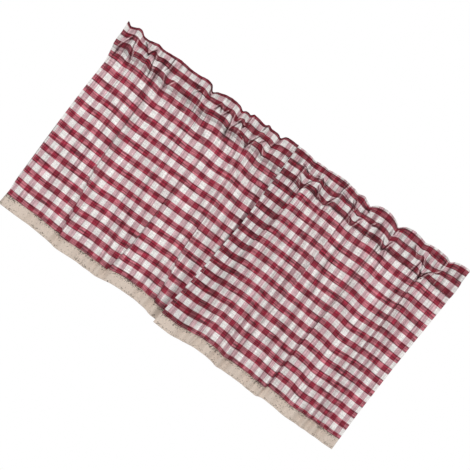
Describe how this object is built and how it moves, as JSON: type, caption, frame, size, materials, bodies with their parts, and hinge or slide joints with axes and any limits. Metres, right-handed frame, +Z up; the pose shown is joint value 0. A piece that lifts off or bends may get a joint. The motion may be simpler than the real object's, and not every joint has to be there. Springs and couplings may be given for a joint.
{
  "type": "pair of lace-trimmed gingham cafe curtains",
  "caption": "Cotton cafe curtains in red and white gingham, with a gathered rod-pocket heading, a frill above it and a natural lace edging along the hem.",
  "frame": {"origin": "on the rod's axis, midway along the pair, where the two headings meet", "axes": "+X along the rod to the viewer's right, +Y away from the viewer, +Z up"},
  "size_m": [0.8401, 0.0297, 0.4522],
  "materials": {
    "gingham": "plain-woven slubby cotton, burgundy and white checks",
    "lace": "natural undyed cotton lace, matt"
  },
  "bodies": {
    "root": {"left_heading": "gingham", "left_panel": "gingham", "left_lace": "lace", "right_heading": "gingham", "right_panel": "gingham", "right_lace": "lace"}
  },
  "joints": []
}
